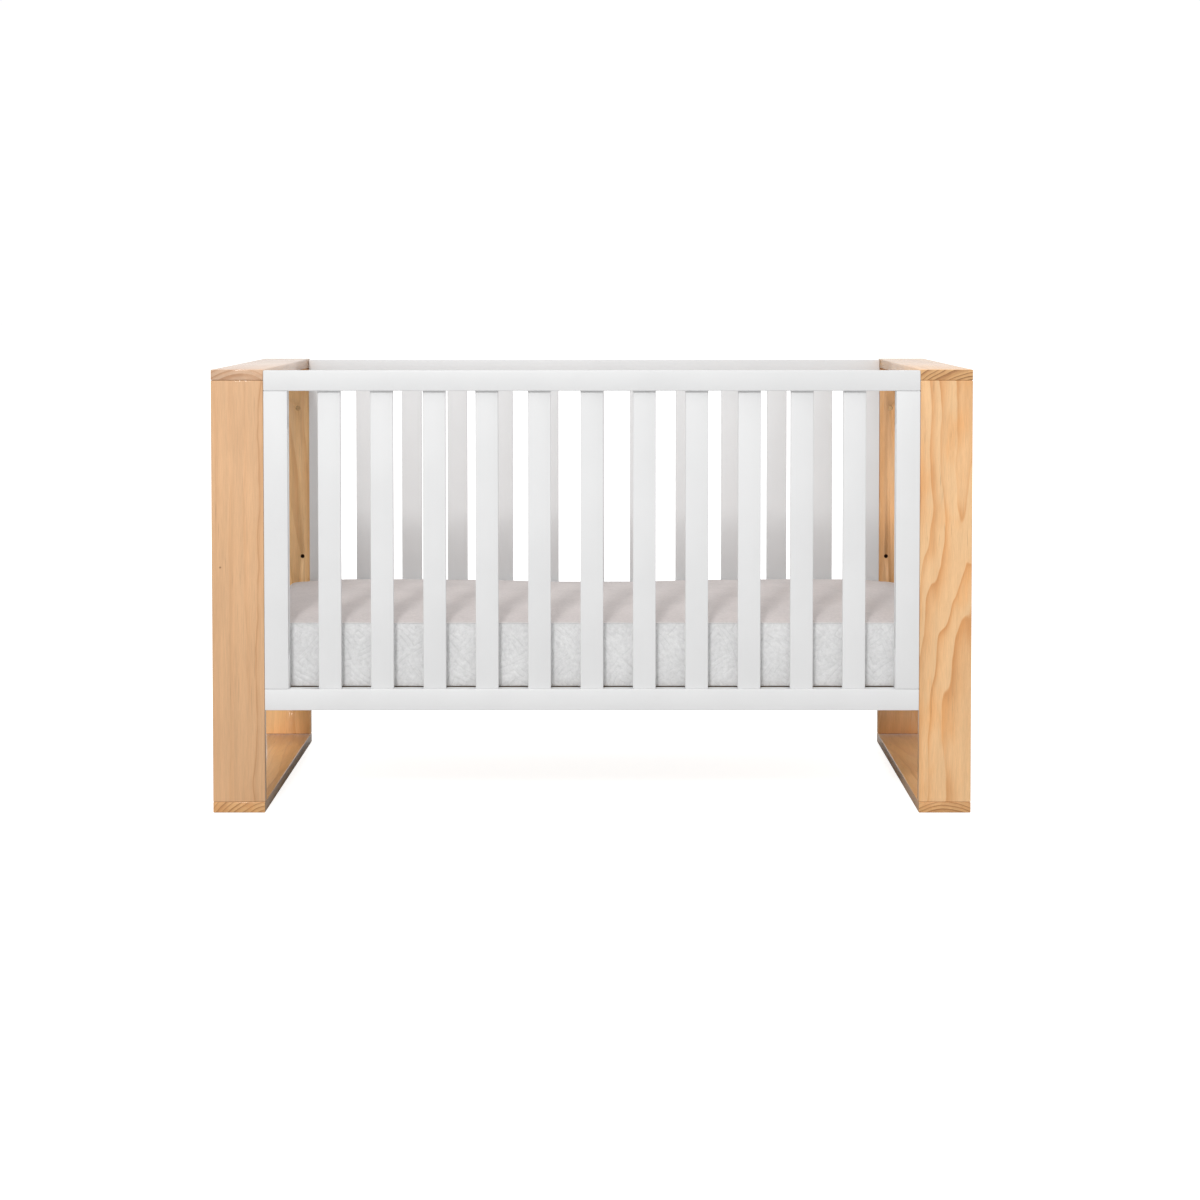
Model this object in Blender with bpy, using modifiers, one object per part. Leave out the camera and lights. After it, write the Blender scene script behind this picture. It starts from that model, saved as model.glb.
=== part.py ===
"""Baby crib: two pine end loops joined by white slatted side and end panels, with a slatted
mattress base on steel pins and a mattress.

Metres, +Z up, X along the length, front at -Y. The origin is on the floor, under the middle.
"""

import bmesh
import bpy
from mathutils import Matrix, Vector

# Overall size
LENGTH = 1.428
DEPTH = 0.760
HEIGHT = 0.836
GAP = 0.0003  # clearance between pieces that touch
EASED_EDGE = 0.0015  # small chamfer on every sawn board

# End loops: a wide board laid flat, two legs, and a wide board on top
LOOP_WIDTH = 0.098
LOOP_BOARD = 0.020
LOOP_INNER_X = LENGTH / 2 - LOOP_WIDTH
LEG_INNER_Y = DEPTH / 2 - LOOP_BOARD

# Side panels, front and rear
PANEL_LOW = 0.194
PANEL_HIGH = 0.834
PANEL_THICKNESS = 0.028
TOP_RAIL = 0.038
BOTTOM_RAIL = 0.040
STILE_WIDTH = 0.045
SLAT_WIDTH = 0.0428
SLAT_THICKNESS = 0.012
SLAT_HOUSING = 0.010  # how far a slat's end goes into its rail
SIDE_SLATS = 11

# End panels, on the middle line of each loop
END_PANEL_THICKNESS = 0.022
END_PANEL_X = LENGTH / 2 - LOOP_WIDTH / 2
END_SLATS = 6
END_SLAT_WIDTH = 0.050
END_TOP_RAIL = 0.038

# Connector bolts that hold the side panels: a counterbore in the stile, a cross nut in the leg
BOLT_HEIGHTS = (0.307, 0.729)
BOLT_HOLE = 0.0066
COUNTERBORE = 0.015
COUNTERBORE_DEPTH = 0.008
BOLT_Y = DEPTH / 2 - LOOP_BOARD / 2
NUT_X = 0.640
NUT_HOLE = 0.0102
NUT_HOLE_DEPTH = 0.016

# Mattress base and its support pins
PIN_HEIGHTS = (0.198, 0.408)
PIN_X = 0.632
PIN_DIAMETER = 0.008
PIN_HOLE = PIN_DIAMETER + 2 * GAP
PIN_HOLE_DEPTH = 0.014
PIN_REACH = 0.040  # how far a pin stands out of the leg
BASE_HALF_X = 0.648
BASE_HALF_Y = 0.338
BASE_LOW = PIN_HEIGHTS[0] + PIN_DIAMETER / 2 + GAP
BASE_HIGH = 0.2357
BASE_RAIL_WIDTH = 0.045
BASE_SLATS = 12
BASE_SLAT_WIDTH = 0.060
BASE_SLAT_THICKNESS = 0.012
BASE_HOUSING = 0.012  # how far the slats' ends are let into the long rails
BASE_SLAT_PROUD = 0.0057  # how far the slats stand above the long rails
BASE_END_RAIL_RISE = 0.002  # how far the end rails' undersides are above the long rails'
BASE_END_RAIL_LET_IN = 0.001  # how deep the end slats are let into the end rails
BASE_SET_BACK = 0.004  # how far the end rails stay inside the long rails' length

# Mattress
MATTRESS_LENGTH = 1.300
MATTRESS_WIDTH = 0.690
MATTRESS_LOW = BASE_HIGH + GAP
MATTRESS_EDGE_HIGH = 0.350
MATTRESS_CROWN = 0.020
MATTRESS_CORNER = 0.035

ROUND_SIDES = 16
CUT_CLEAR = 0.005  # how far a cutter runs past the face that it opens


def clear_scene():
    """Removes every object of the startup scene."""
    for item in list(bpy.data.objects):
        bpy.data.objects.remove(item, do_unlink=True)


def make_collection(name):
    """A collection linked to the scene."""
    group = bpy.data.collections.new(name)
    bpy.context.scene.collection.children.link(group)
    return group


def make_material(name, colour, roughness, metallic=0.0):
    """A Principled material of one colour."""
    material = bpy.data.materials.new(name)
    material.use_nodes = True
    shader = material.node_tree.nodes["Principled BSDF"]
    shader.inputs["Base Color"].default_value = (*colour, 1.0)
    shader.inputs["Roughness"].default_value = roughness
    shader.inputs["Metallic"].default_value = metallic
    return material


def add_object(name, shape, location, group, material=None):
    """Turns a bmesh into a named object at a place."""
    mesh = bpy.data.meshes.new(name)
    shape.to_mesh(mesh)
    shape.free()
    piece = bpy.data.objects.new(name, mesh)
    piece.location = location
    group.objects.link(piece)
    if material:
        mesh.materials.append(material)
    return piece


def add_board(name, low, high, group, material, eased=EASED_EDGE):
    """A straight board between two corners, with chamfered edges."""
    low = Vector(low)
    high = Vector(high)
    shape = bmesh.new()
    bmesh.ops.create_cube(shape, size=1.0)
    bmesh.ops.scale(shape, vec=high - low, verts=shape.verts)
    board = add_object(name, shape, (low + high) / 2, group, material)
    if eased:
        bevel = board.modifiers.new("eased edges", "BEVEL")
        bevel.width = eased
        bevel.segments = 1
    return board


def add_box_cutter(name, boxes, group):
    """One cutter made of separate boxes, each given by its two corners."""
    shape = bmesh.new()
    for low, high in boxes:
        low = Vector(low)
        high = Vector(high)
        place = Matrix.Translation((low + high) / 2) @ Matrix.Diagonal((*(high - low), 1.0))
        bmesh.ops.create_cube(shape, size=1.0, matrix=place)
    return hide_cutter(add_object(name, shape, (0, 0, 0), group))


def add_round_cutter(name, starts, direction, length, diameter, group):
    """One cutter made of separate cylinders of one size and direction."""
    shape = bmesh.new()
    direction = Vector(direction)
    turn = direction.to_track_quat("Z", "Y").to_matrix().to_4x4()
    for start in starts:
        middle = Vector(start) + direction * length / 2
        bmesh.ops.create_cone(
            shape,
            cap_ends=True,
            segments=ROUND_SIDES,
            radius1=diameter / 2,
            radius2=diameter / 2,
            depth=length,
            matrix=Matrix.Translation(middle) @ turn,
        )
    return hide_cutter(add_object(name, shape, (0, 0, 0), group))


def hide_cutter(cutter):
    """Marks an object as a helper."""
    cutter.hide_render = True
    cutter.display_type = "WIRE"
    return cutter


def cut(board, cutter):
    """Takes the cutter's shape out of the board."""
    boolean = board.modifiers.new(cutter.name, "BOOLEAN")
    boolean.operation = "DIFFERENCE"
    boolean.solver = "EXACT"
    boolean.object = cutter


def join(board, other):
    """Adds the other's shape to the board as one glued piece."""
    boolean = board.modifiers.new(other.name, "BOOLEAN")
    boolean.operation = "UNION"
    boolean.solver = "EXACT"
    boolean.object = other


def slat_centres(count, width, clear_width):
    """Centres of equal slats with equal gaps, the end gaps included."""
    space = (clear_width - count * width) / (count + 1)
    first = -clear_width / 2 + space + width / 2
    return [first + number * (width + space) for number in range(count)]


def build_loop(side_name, side, parts, cutters, pine):
    """One end loop: bottom board, two legs and top board."""
    inner = side * (LOOP_INNER_X)
    outer = side * LENGTH / 2
    left, right = sorted((inner, outer))
    add_board(
        f"{side_name}_bottom_board",
        (left, -DEPTH / 2, 0),
        (right, DEPTH / 2, LOOP_BOARD),
        parts,
        pine,
    )
    add_board(
        f"{side_name}_top_board",
        (left, -DEPTH / 2, HEIGHT - LOOP_BOARD),
        (right, DEPTH / 2, HEIGHT),
        parts,
        pine,
    )
    for face_name, face in (("front", -1), ("rear", 1)):
        near, far = sorted((face * LEG_INNER_Y, face * DEPTH / 2))
        leg = add_board(
            f"{side_name}_{face_name}_leg",
            (left, near, LOOP_BOARD + GAP),
            (right, far, HEIGHT - LOOP_BOARD - GAP),
            parts,
            pine,
        )
        drill_leg(leg, side, face, cutters)


def drill_leg(leg, side, face, cutters):
    """Pin holes and cross-nut holes from the inside, and bolt holes from the inner edge."""
    inside = face * (LEG_INNER_Y - CUT_CLEAR)
    outward = (0, face, 0)
    pin_starts = [(side * PIN_X, inside, z) for z in PIN_HEIGHTS]
    nut_starts = [(side * NUT_X, inside, z) for z in BOLT_HEIGHTS]
    bolt_starts = [(side * (LOOP_INNER_X - CUT_CLEAR), face * BOLT_Y, z) for z in BOLT_HEIGHTS]
    bolt_depth = NUT_X - LOOP_INNER_X + NUT_HOLE / 2 + CUT_CLEAR
    pin_length = PIN_HOLE_DEPTH + CUT_CLEAR
    nut_length = NUT_HOLE_DEPTH + CUT_CLEAR
    cut(leg, add_round_cutter(f"{leg.name} pin holes", pin_starts, outward, pin_length, PIN_HOLE, cutters))
    cut(leg, add_round_cutter(f"{leg.name} nut holes", nut_starts, outward, nut_length, NUT_HOLE, cutters))
    cut(
        leg,
        add_round_cutter(
            f"{leg.name} bolt holes", bolt_starts, (side, 0, 0), bolt_depth, BOLT_HOLE, cutters
        ),
    )


def build_side_panel(name, face, parts, cutters, white):
    """A long panel between the loops: two rails, two stiles and its slats."""
    near, far = sorted((face * (DEPTH / 2 - PANEL_THICKNESS), face * DEPTH / 2))
    half = LOOP_INNER_X - GAP
    low_face = PANEL_LOW + BOTTOM_RAIL
    high_face = PANEL_HIGH - TOP_RAIL
    bottom_rail = add_board(
        f"{name}_bottom_rail", (-half, near, PANEL_LOW), (half, far, low_face), parts, white
    )
    top_rail = add_board(
        f"{name}_top_rail", (-half, near, high_face), (half, far, PANEL_HIGH), parts, white
    )
    for side_name, side in (("left", -1), ("right", 1)):
        edges = sorted((side * half, side * (half - STILE_WIDTH)))
        stile = add_board(
            f"{name}_{side_name}_stile",
            (edges[0], near, low_face + GAP),
            (edges[1], far, high_face - GAP),
            parts,
            white,
        )
        drill_stile(stile, side, face, half, cutters)
    centres = slat_centres(SIDE_SLATS, SLAT_WIDTH, 2 * (half - STILE_WIDTH))
    middle = (near + far) / 2
    for number, x in enumerate(centres, 1):
        add_board(
            f"{name}_slat_{number:02d}",
            (x - SLAT_WIDTH / 2, middle - SLAT_THICKNESS / 2, low_face - SLAT_HOUSING),
            (x + SLAT_WIDTH / 2, middle + SLAT_THICKNESS / 2, high_face + SLAT_HOUSING),
            parts,
            white,
        )
    half_size = Vector((SLAT_WIDTH / 2 + GAP, SLAT_THICKNESS / 2 + GAP))
    places = [Vector((x, middle)) for x in centres]
    cut_housings(bottom_rail, places, half_size, low_face, -1, cutters)
    cut_housings(top_rail, places, half_size, high_face, 1, cutters)


def cut_housings(rail, places, half_size, face_height, inward, cutters):
    """Blind housings in a rail for the ends of its slats."""
    open_z = face_height - inward * CUT_CLEAR
    blind_z = face_height + inward * (SLAT_HOUSING + GAP)
    low_z, high_z = sorted((open_z, blind_z))
    boxes = [
        ((*(place - half_size), low_z), (*(place + half_size), high_z)) for place in places
    ]
    cut(rail, add_box_cutter(f"{rail.name} housings", boxes, cutters))


def drill_stile(stile, side, face, half, cutters):
    """Bolt holes through a stile, counterbored on the side that faces the slats."""
    inner_x = half - STILE_WIDTH
    starts = [(side * (inner_x - CUT_CLEAR), face * BOLT_Y, z) for z in BOLT_HEIGHTS]
    outward = (side, 0, 0)
    through = STILE_WIDTH + 2 * CUT_CLEAR
    recess = COUNTERBORE_DEPTH + CUT_CLEAR
    cut(stile, add_round_cutter(f"{stile.name} bolt holes", starts, outward, through, BOLT_HOLE, cutters))
    cut(stile, add_round_cutter(f"{stile.name} counterbores", starts, outward, recess, COUNTERBORE, cutters))


def build_end_panel(side_name, side, parts, cutters, white):
    """A short panel inside a loop, between its legs: two rails and upright slats."""
    near, far = sorted(
        (side * (END_PANEL_X - END_PANEL_THICKNESS / 2), side * (END_PANEL_X + END_PANEL_THICKNESS / 2))
    )
    half = LEG_INNER_Y - GAP
    low_face = PANEL_LOW + BOTTOM_RAIL
    top = HEIGHT - LOOP_BOARD - GAP
    high_face = top - END_TOP_RAIL
    bottom_rail = add_board(
        f"{side_name}_end_bottom_rail", (near, -half, PANEL_LOW), (far, half, low_face), parts, white
    )
    top_rail = add_board(
        f"{side_name}_end_top_rail", (near, -half, high_face), (far, half, top), parts, white
    )
    middle = side * END_PANEL_X
    centres = slat_centres(END_SLATS, END_SLAT_WIDTH, 2 * half)
    for number, y in enumerate(centres, 1):
        add_board(
            f"{side_name}_end_slat_{number}",
            (middle - SLAT_THICKNESS / 2, y - END_SLAT_WIDTH / 2, low_face - SLAT_HOUSING),
            (middle + SLAT_THICKNESS / 2, y + END_SLAT_WIDTH / 2, high_face + SLAT_HOUSING),
            parts,
            white,
        )
    half_size = Vector((SLAT_THICKNESS / 2 + GAP, END_SLAT_WIDTH / 2 + GAP))
    places = [Vector((middle, y)) for y in centres]
    cut_housings(bottom_rail, places, half_size, low_face, -1, cutters)
    cut_housings(top_rail, places, half_size, high_face, 1, cutters)


def build_base(parts, cutters, pine):
    """The glued mattress base: a frame of four rails with cross slats let into it."""
    rail_high = BASE_HIGH - BASE_SLAT_PROUD
    end_rail_high = BASE_HIGH - BASE_SLAT_THICKNESS + BASE_END_RAIL_LET_IN
    inner_y = BASE_HALF_Y - BASE_RAIL_WIDTH
    base = add_board(
        "mattress_base",
        (-BASE_HALF_X, -BASE_HALF_Y, BASE_LOW),
        (BASE_HALF_X, -inner_y, rail_high),
        parts,
        pine,
        eased=0,
    )
    rear_rail = add_board(
        "base rear rail",
        (-BASE_HALF_X, inner_y, BASE_LOW),
        (BASE_HALF_X, BASE_HALF_Y, rail_high),
        cutters,
        pine,
        eased=0,
    )
    joined = [rear_rail]
    half_x = BASE_HALF_X - BASE_SET_BACK
    for side in (-1, 1):
        edges = sorted((side * half_x, side * (half_x - BASE_RAIL_WIDTH)))
        joined.append(
            add_board(
                f"base end rail {side}",
                (edges[0], -inner_y - CUT_CLEAR, BASE_LOW + BASE_END_RAIL_RISE),
                (edges[1], inner_y + CUT_CLEAR, end_rail_high),
                cutters,
                pine,
                eased=0,
            )
        )
    half_y = inner_y + BASE_HOUSING
    first = BASE_SLAT_WIDTH / 2 + 2 * BASE_SET_BACK - BASE_HALF_X
    for number in range(BASE_SLATS):
        x = first - 2 * first * number / (BASE_SLATS - 1)
        joined.append(
            add_board(
                f"base slat {number}",
                (x - BASE_SLAT_WIDTH / 2, -half_y, BASE_HIGH - BASE_SLAT_THICKNESS),
                (x + BASE_SLAT_WIDTH / 2, half_y, BASE_HIGH),
                cutters,
                pine,
                eased=0,
            )
        )
    for other in joined:
        join(base, hide_cutter(other))


def build_pins(parts, steel):
    """Four steel pins in the lowest holes of the legs, which carry the base."""
    length = PIN_REACH + PIN_HOLE_DEPTH - GAP
    for side_name, side in (("left", -1), ("right", 1)):
        for face_name, face in (("front", -1), ("rear", 1)):
            shape = bmesh.new()
            bmesh.ops.create_cone(
                shape,
                cap_ends=True,
                segments=ROUND_SIDES,
                radius1=PIN_DIAMETER / 2,
                radius2=PIN_DIAMETER / 2,
                depth=length,
                matrix=Matrix.Rotation(1.5707963, 4, "X"),
            )
            middle_y = face * (LEG_INNER_Y - PIN_REACH + length / 2)
            pin = add_object(
                f"{side_name}_{face_name}_base_pin",
                shape,
                (side * PIN_X, middle_y, PIN_HEIGHTS[0]),
                parts,
                steel,
            )
            pin.data.shade_smooth()
            pin.data.set_sharp_from_angle(angle=0.7)


def build_mattress(parts, fabric):
    """A closed pad with rounded corners and a crowned top."""
    columns = 16
    rows = 10
    shape = bmesh.new()
    bmesh.ops.create_grid(shape, x_segments=columns, y_segments=rows, size=0.5)
    bmesh.ops.scale(shape, vec=(MATTRESS_LENGTH, MATTRESS_WIDTH, 1.0), verts=shape.verts)
    for vertex in shape.verts:
        vertex.co.xy = rounded_plan(vertex.co.xy)
        across = 1 - (2 * vertex.co.y / MATTRESS_WIDTH) ** 2
        along = 1 - (2 * vertex.co.x / MATTRESS_LENGTH) ** 4
        vertex.co.z = MATTRESS_EDGE_HIGH + MATTRESS_CROWN * across * along
    grown = bmesh.ops.extrude_face_region(shape, geom=shape.faces[:])
    for item in grown["geom"]:
        if isinstance(item, bmesh.types.BMVert):
            item.co.z = MATTRESS_LOW
    bmesh.ops.recalc_face_normals(shape, faces=shape.faces)
    add_object("mattress", shape, (0, 0, 0), parts, fabric)


def rounded_plan(point):
    """Pulls a point of the rectangle's corner in onto the corner's arc."""
    limit = Vector((MATTRESS_LENGTH / 2 - MATTRESS_CORNER, MATTRESS_WIDTH / 2 - MATTRESS_CORNER))
    sign = Vector((1 if point.x >= 0 else -1, 1 if point.y >= 0 else -1))
    beyond = Vector((abs(point.x) - limit.x, abs(point.y) - limit.y))
    if min(beyond) <= 0:
        return point
    reach = max(beyond)
    arc = beyond.normalized() * reach
    return Vector((sign.x * (limit.x + arc.x), sign.y * (limit.y + arc.y)))


def main():
    """Builds every piece of the crib."""
    clear_scene()
    parts = make_collection("baby_crib")
    cutters = make_collection("cutters")
    pine = make_material("pine", (0.76, 0.48, 0.26), 0.45)
    white = make_material("white_paint", (0.80, 0.80, 0.79), 0.38)
    base_pine = make_material("base_pine", (0.74, 0.52, 0.32), 0.6)
    steel = make_material("steel", (0.55, 0.55, 0.56), 0.3, 1.0)
    fabric = make_material("mattress_fabric", (0.66, 0.64, 0.64), 0.85)
    for side_name, side in (("left", -1), ("right", 1)):
        build_loop(side_name, side, parts, cutters, pine)
        build_end_panel(side_name, side, parts, cutters, white)
    for name, face in (("front", -1), ("rear", 1)):
        build_side_panel(name, face, parts, cutters, white)
    build_base(parts, cutters, base_pine)
    build_pins(parts, steel)
    build_mattress(parts, fabric)


main()
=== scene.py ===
"""Looks of the baby crib: lacquered pine end loops, satin white slatted panels, and a quilted mattress.

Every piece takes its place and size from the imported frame. Metres, +Z up, the front of the crib at -Y.
"""

from __future__ import annotations

import logging
import math
from collections.abc import Iterable
from dataclasses import dataclass, field
from enum import Enum
from functools import cache

import bmesh
import bpy
from mathutils import Matrix, Vector, noise


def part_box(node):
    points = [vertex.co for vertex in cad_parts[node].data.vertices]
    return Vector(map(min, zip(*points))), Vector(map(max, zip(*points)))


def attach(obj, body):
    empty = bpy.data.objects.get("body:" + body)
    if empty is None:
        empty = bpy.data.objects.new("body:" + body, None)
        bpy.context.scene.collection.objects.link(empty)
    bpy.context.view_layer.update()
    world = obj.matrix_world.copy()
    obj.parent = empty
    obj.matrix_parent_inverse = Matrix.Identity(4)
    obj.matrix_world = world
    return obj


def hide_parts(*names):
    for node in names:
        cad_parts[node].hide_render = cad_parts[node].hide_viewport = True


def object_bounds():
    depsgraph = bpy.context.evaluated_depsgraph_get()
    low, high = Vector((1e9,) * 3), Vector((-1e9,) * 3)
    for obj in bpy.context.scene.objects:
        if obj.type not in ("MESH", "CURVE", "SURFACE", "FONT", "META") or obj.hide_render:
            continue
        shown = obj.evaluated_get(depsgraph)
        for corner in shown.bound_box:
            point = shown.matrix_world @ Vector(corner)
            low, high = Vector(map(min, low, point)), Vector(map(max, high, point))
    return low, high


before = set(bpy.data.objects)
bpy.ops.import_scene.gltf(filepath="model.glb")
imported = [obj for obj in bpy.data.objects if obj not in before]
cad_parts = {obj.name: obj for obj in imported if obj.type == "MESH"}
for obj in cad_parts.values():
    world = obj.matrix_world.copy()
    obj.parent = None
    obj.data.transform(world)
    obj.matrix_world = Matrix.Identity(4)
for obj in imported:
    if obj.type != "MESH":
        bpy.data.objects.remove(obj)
CAD_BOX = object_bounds()

log = logging.getLogger("crib")

Node = bpy.types.Node
Socket = bpy.types.NodeSocket
Tree = bpy.types.NodeTree
Material = bpy.types.Material
Mesh = bpy.types.Mesh
Object = bpy.types.Object
Shape = bmesh.types.BMesh


class Grain(Enum):
    """The direction that a board's fibres run in, as the turn from +Z to it."""

    ALONG_X = (0.0, math.pi / 2, 0.0)
    ALONG_Y = (-math.pi / 2, 0.0, 0.0)
    ALONG_Z = (0.0, 0.0, 0.0)

    @property
    def axis(self) -> Vector:
        """The unit vector along the fibres."""
        return {"X": Vector((1, 0, 0)), "Y": Vector((0, 1, 0)), "Z": Vector((0, 0, 1))}[self.name[-1]]


class NodeDesk:
    """Adds and links the nodes of one tree."""

    def __init__(self, tree: Tree) -> None:
        """Starts on a tree."""
        self.tree = tree

    def put(self, kind: str, inputs: dict | None = None, **settings: object) -> Node:
        """Adds a node.

        Args:
            kind: The node's type name.
            inputs: Input name or number to a value, or to the socket that feeds it.
            **settings: Properties of the node.

        Returns:
            The new node.
        """
        made = self.tree.nodes.new(kind)
        for name, value in settings.items():
            setattr(made, name, value)
        self.fill(made, inputs or {})
        return made

    def fill(self, node: Node, inputs: dict) -> None:
        """Gives a node's inputs their values, or links the sockets that feed them.

        Args:
            node: The node.
            inputs: Input name or number to a value, or to the socket that feeds it.
        """
        for name, value in inputs.items():
            if isinstance(value, Socket):
                self.tree.links.new(value, node.inputs[name])
            else:
                node.inputs[name].default_value = value

    def use(self, group: Tree, inputs: dict) -> bpy.types.bpy_prop_collection:
        """The outputs of a shared node group with these inputs."""
        return self.put("ShaderNodeGroup", inputs, node_tree=group).outputs

    def coordinates(self, kind: str) -> Socket:
        """One of the outputs of a Texture Coordinate node."""
        return self.put("ShaderNodeTexCoord").outputs[kind]

    def split(self, place: Socket) -> list[Socket]:
        """The three parts of a vector."""
        return list(self.put("ShaderNodeSeparateXYZ", {0: place}).outputs)

    def math(self, operation: str, *values: object) -> Socket:
        """The result of a Math node on up to three values."""
        return self.put("ShaderNodeMath", dict(enumerate(values)), operation=operation).outputs[0]

    def times(self, product: object, *others: object) -> Socket:
        """The product of two or more values."""
        for other in others:
            product = self.math("MULTIPLY", product, other)
        return product

    def vector(self, operation: str, *values: object) -> Socket:
        """The result of a Vector Math node on up to three values."""
        made = self.put("ShaderNodeVectorMath", dict(enumerate(values)), operation=operation)
        return made.outputs["Value" if operation in ("LENGTH", "DOT_PRODUCT") else "Vector"]

    def scale(self, vector: object, factor: object) -> Socket:
        """A vector or a colour times one factor."""
        return self.put("ShaderNodeVectorMath", {0: vector, "Scale": factor}, operation="SCALE").outputs[0]

    def noise(self, place: Socket, scale: float, detail: float = 2.0, rough: float = 0.5) -> Socket:
        """The value of a Noise Texture at a place."""
        inputs = {"Vector": place, "Scale": scale, "Detail": detail, "Roughness": rough}
        return self.put("ShaderNodeTexNoise", inputs).outputs[0]

    def wander(self, place: Socket, scale: float, detail: float, reach: object) -> Socket:
        """A vector that wanders from place to place, by half its reach either way."""
        cloud = self.put("ShaderNodeTexNoise", {"Vector": place, "Scale": scale, "Detail": detail})
        return self.scale(self.vector("SUBTRACT", cloud.outputs["Color"], (0.5, 0.5, 0.5)), reach)

    def mix(self, factor: object, first: object, second: object) -> Socket:
        """Two colours mixed, with the factor as the second one's share."""
        inputs = {0: factor, 6: first, 7: second}
        made = self.put("ShaderNodeMix", inputs, data_type="RGBA", blend_type="MIX", clamp_factor=True)
        return made.outputs[2]

    def spread(
        self, value: Socket, low: float, high: float, to_low: float = 0.0, to_high: float = 1.0
    ) -> Socket:
        """A value mapped smoothly from one range to another, and held inside it."""
        inputs = {"Value": value, "From Min": low, "From Max": high, "To Min": to_low, "To Max": to_high}
        return self.put("ShaderNodeMapRange", inputs, interpolation_type="SMOOTHSTEP").outputs[0]

    def bump(self, height: Socket, strength: float, distance: float) -> Socket:
        """The normal that a height gives."""
        inputs = {"Height": height, "Strength": strength, "Distance": distance}
        return self.put("ShaderNodeBump", inputs).outputs[0]


def start_group(
    name: str, inputs: dict[str, str], outputs: dict[str, str]
) -> tuple[NodeDesk, dict, Node]:
    """Starts a shader node group.

    Args:
        name: The group's name.
        inputs: Input name to socket type.
        outputs: Output name to socket type.

    Returns:
        The desk to build on, the group's inputs by name, and its output node.
    """
    tree = bpy.data.node_groups.new(name, "ShaderNodeTree")
    for in_out, sockets in (("INPUT", inputs), ("OUTPUT", outputs)):
        for socket_name, kind in sockets.items():
            tree.interface.new_socket(socket_name, in_out=in_out, socket_type=kind)
    desk = NodeDesk(tree)
    entry = desk.put("NodeGroupInput")
    leave = desk.put("NodeGroupOutput")
    return desk, {name: entry.outputs[name] for name in inputs}, leave


FLOAT = "NodeSocketFloat"
COLOUR = "NodeSocketColor"
VECTOR = "NodeSocketVector"


@cache
def growth_rings_group() -> Tree:
    """Sawn softwood: rings round a pith that runs along local Z, with fibres, mottling and end grain.

    Returns:
        The node group, with outputs Color, Late and Height.
    """
    desk, given, leave = start_group(
        "growth_rings",
        {
            "Place": VECTOR,
            **dict.fromkeys(("Early", "Late", "Streak"), COLOUR),
            **dict.fromkeys(("Ring Spacing", "Waviness", "Contrast", "Seed"), FLOAT),
            **dict.fromkeys(("End Grain", "End Contrast", "Knot", "Vein", "Shade"), FLOAT),
        },
        {"Color": COLOUR, "Late": FLOAT, "Height": FLOAT},
    )
    moved = desk.vector("ADD", given["Place"], given["Seed"])
    long_way = desk.vector("MULTIPLY", moved, (1.0, 1.0, 0.27))
    bend = desk.wander(long_way, 11.0, 1.2, desk.times(given["Waviness"], 2.0))
    ripple = desk.wander(long_way, 36.0, 1.5, desk.times(given["Waviness"], 0.42))
    across = desk.vector("ADD", desk.vector("ADD", given["Place"], bend), ripple)
    radius = desk.vector("LENGTH", desk.vector("MULTIPLY", across, (1.0, 1.0, 0.0)))
    count = desk.math("DIVIDE", radius, given["Ring Spacing"])
    year = desk.math("MULTIPLY_ADD", count, 0.6, given["Seed"])
    uneven = desk.put("ShaderNodeTexNoise", {"W": year, "Scale": 1.0}, noise_dimensions="1D")
    turn = desk.math("FRACT", desk.math("MULTIPLY_ADD", uneven.outputs[0], 1.1, count))
    fall = desk.spread(turn, 0.94, 1.0, 1.0, 0.0)
    late = desk.times(desk.math("POWER", turn, 4.2), fall)
    end = desk.times(given["End Grain"], given["End Contrast"])
    strength = desk.math("MAXIMUM", given["Contrast"], end)
    patchy = desk.spread(desk.noise(long_way, 17.0), 0.32, 0.62, 0.25, 1.0)
    patchy = desk.math("MAXIMUM", patchy, desk.times(end, 0.9))
    shade = desk.times(late, strength, patchy)
    glow = desk.times(desk.math("POWER", turn, 2.2), fall, patchy, strength)
    streaks = desk.spread(desk.noise(long_way, 26.0, 3.0), 0.48, 0.72, 0.0, 0.6)
    deep = desk.scale(given["Late"], 0.55)
    colour = given["Early"]
    for amount, over in (
        (glow, given["Streak"]),
        (shade, given["Late"]),
        (desk.times(streaks, strength), given["Streak"]),
        (desk.times(shade, end, 0.7), deep),
        (given["Vein"], given["Late"]),
        (given["Knot"], deep),
    ):
        colour = desk.mix(amount, colour, over)
    fibre_place = desk.vector("MULTIPLY", moved, (1.0, 1.0, 0.03))
    fibres = desk.noise(fibre_place, 900.0, 3.0, 0.65)
    fibre_tone = desk.spread(fibres, 0.3, 0.7, 0.93, 1.05)
    flecks = desk.spread(desk.noise(fibre_place, 330.0, 1.0), 0.68, 0.78, 1.0, 0.80)
    bands = desk.spread(desk.noise(fibre_place, 120.0), 0.3, 0.7, 0.955, 1.035)
    broad = desk.spread(desk.noise(long_way, 8.0, 3.0, 0.6), 0.3, 0.7, 0.925, 1.05)
    end_tone = desk.math("MULTIPLY_ADD", end, -0.2, 1.0)
    # The Shade input is painted shade: it darkens a bottom board's inner edge face, which sits in shadow.
    tone = desk.times(fibre_tone, flecks, bands, broad, end_tone, given["Shade"])
    height = desk.math("ADD", desk.times(fibres, 0.7), desk.times(late, 0.3))
    desk.fill(leave, {"Color": desk.scale(colour, tone), "Late": late, "Height": height})
    return desk.tree


@cache
def end_grain_group() -> Tree:
    """Where a face is cut across the fibres: 1 on end grain, 0 on the sides."""
    desk, given, leave = start_group("end_grain", {"Axis": VECTOR}, {"Mask": FLOAT})
    facing = desk.math("ABSOLUTE", desk.vector("DOT_PRODUCT", desk.coordinates("Normal"), given["Axis"]))
    desk.fill(leave, {"Mask": desk.spread(facing, 0.55, 0.9)})
    return desk.tree


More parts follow.
